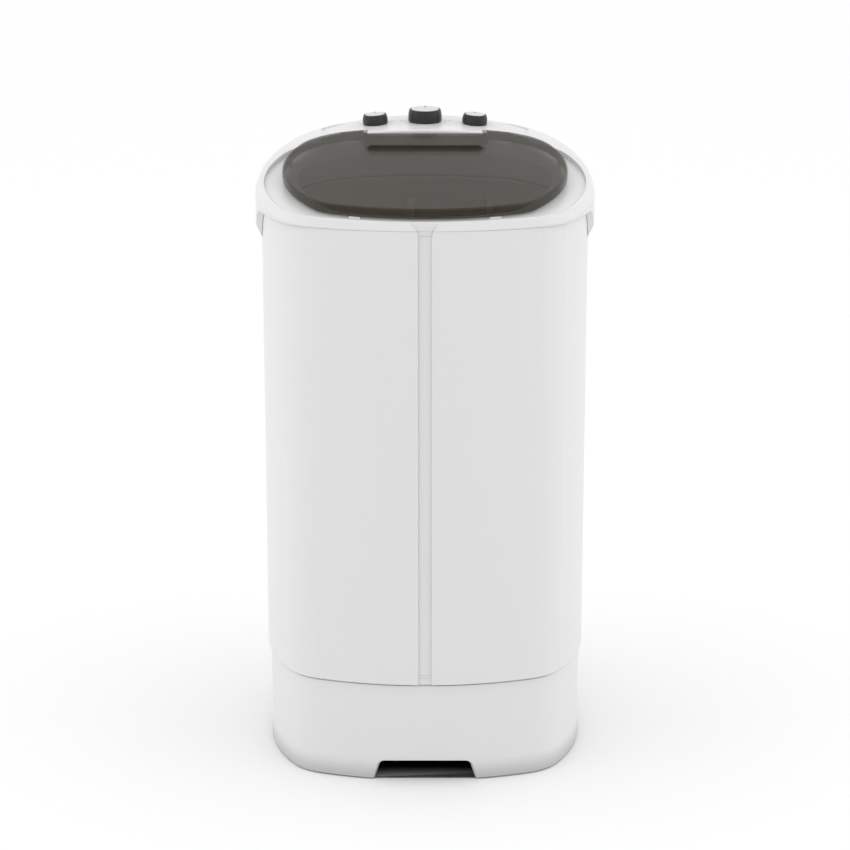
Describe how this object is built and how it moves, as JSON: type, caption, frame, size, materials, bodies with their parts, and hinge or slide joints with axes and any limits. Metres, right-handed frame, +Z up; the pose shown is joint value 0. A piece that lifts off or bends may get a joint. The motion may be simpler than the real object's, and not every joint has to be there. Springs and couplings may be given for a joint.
{
  "type": "washing machine",
  "caption": "Top-loading single-tub washing machine with a smoked hinged lid, a rear control console, a belt-driven pulsator and a lift-out lint filter.",
  "frame": {"origin": "on the floor under the middle of the outer box", "axes": "+Z up, the front with the notch in the base faces -Y, +X to the right seen from behind the front face looking towards +Y"},
  "size_m": [0.5, 0.5449, 0.9253],
  "materials": {
    "cabinet_white": "satin",
    "panel_white": "matte",
    "overlay_silver": "satin",
    "smoked_lid": "gloss",
    "knob_grey": "satin",
    "cap_silver": "satin",
    "tub_white": "satin",
    "filter_grey": "satin",
    "mesh_nylon": "woven",
    "switch_black": "matte",
    "pulley_black": "matte",
    "bumper_white": "matte",
    "rubber_black": "matte",
    "hose_grey": "matte",
    "cable_black": "matte",
    "zinc_steel": "zinc plated",
    "shaft_steel": "ground",
    "motor_aluminium": "cast",
    "bushing_brass": "sintered"
  },
  "bodies": {
    "cabinet": {"base_skirt": "cabinet_white", "foot_pads": "rubber_black", "rear_cover": "panel_white", "cover_screws": "zinc_steel", "drain_outlet": "hose_grey", "cord_gland": "rubber_black", "cabinet_shell": "cabinet_white", "case_screws": "zinc_steel", "tub": "tub_white", "tub_gasket": "rubber_black", "top_deck": "cabinet_white", "deck_screws": "zinc_steel", "console_overlay": "overlay_silver", "hinge_bushings": "switch_black", "timer_body": "switch_black", "level_switch_body": "switch_black", "mode_switch_body": "switch_black", "filter_housing": "tub_white", "bearing_housing": "tub_white", "housing_screws": "zinc_steel", "shaft_bushings": "bushing_brass", "shaft_seal": "rubber_black", "motor_bracket": "zinc_steel", "bracket_screws": "zinc_steel", "motor_housing": "motor_aluminium", "motor_dampers": "rubber_black", "motor_bolts": "zinc_steel", "drive_belt": "rubber_black", "capacitor": "switch_black", "capacitor_clip": "zinc_steel", "inner_drain_hose": "hose_grey", "hose_clamps": "zinc_steel", "wiring_harness": "cable_black", "harness_clips": "switch_black"},
    "lid": {"lid_panel": "smoked_lid", "lid_hinge_pins": "zinc_steel", "lid_bumpers": "bumper_white"},
    "timer_control": {"timer_knob": "knob_grey", "timer_knob_cap": "cap_silver", "timer_spindle": "zinc_steel"},
    "level_control": {"level_knob": "knob_grey", "level_knob_cap": "cap_silver", "level_spindle": "zinc_steel"},
    "mode_control": {"mode_knob": "knob_grey", "mode_knob_cap": "cap_silver", "mode_spindle": "zinc_steel"},
    "pulsator_drive": {"pulsator": "tub_white", "pulsator_cap": "tub_white", "pulsator_screw": "zinc_steel", "drive_shaft": "shaft_steel", "driven_pulley": "pulley_black", "pulley_nut": "zinc_steel"},
    "motor_rotor": {"motor_shaft": "shaft_steel", "motor_pulley": "pulley_black", "motor_fan": "pulley_black"},
    "lint_filter": {"filter_frame": "filter_grey", "filter_mesh": "mesh_nylon"}
  },
  "joints": [
    {"name": "lid_hinge", "type": "hinge", "parent": "cabinet", "child": "lid", "pos_m": [0, 0.1505, 0.89296], "axis": [-1, 0, 0], "range_deg": [0, 95]},
    {"name": "timer_turn", "type": "hinge", "parent": "cabinet", "child": "timer_control", "pos_m": [0, 0.2115, 0.905], "axis": [0, 0, -1], "range_deg": [0, 320]},
    {"name": "level_turn", "type": "hinge", "parent": "cabinet", "child": "level_control", "pos_m": [-0.077, 0.2035, 0.90244], "axis": [-0.0664, 0, 0.9978], "range_deg": [-60, 60]},
    {"name": "mode_turn", "type": "hinge", "parent": "cabinet", "child": "mode_control", "pos_m": [0.077, 0.2035, 0.90244], "axis": [0.0664, 0, 0.9978], "range_deg": [-60, 60]},
    {"name": "pulsator_spin", "type": "hinge", "parent": "cabinet", "child": "pulsator_drive", "pos_m": [0, -0.0505, 0.18], "axis": [0, 0, 1], "continuous": true},
    {"name": "motor_spin", "type": "hinge", "parent": "cabinet", "child": "motor_rotor", "pos_m": [0, 0.1175, 0.15], "axis": [0, 0, 1], "continuous": true},
    {"name": "filter_slide", "type": "slide", "parent": "cabinet", "child": "lint_filter", "axis": [0, 0, 1], "range_m": [0, 0.028]}
  ],
  "couplings": [
    {"joint": "motor_spin", "follows": "pulsator_spin", "ratio": 4.6058}
  ]
}
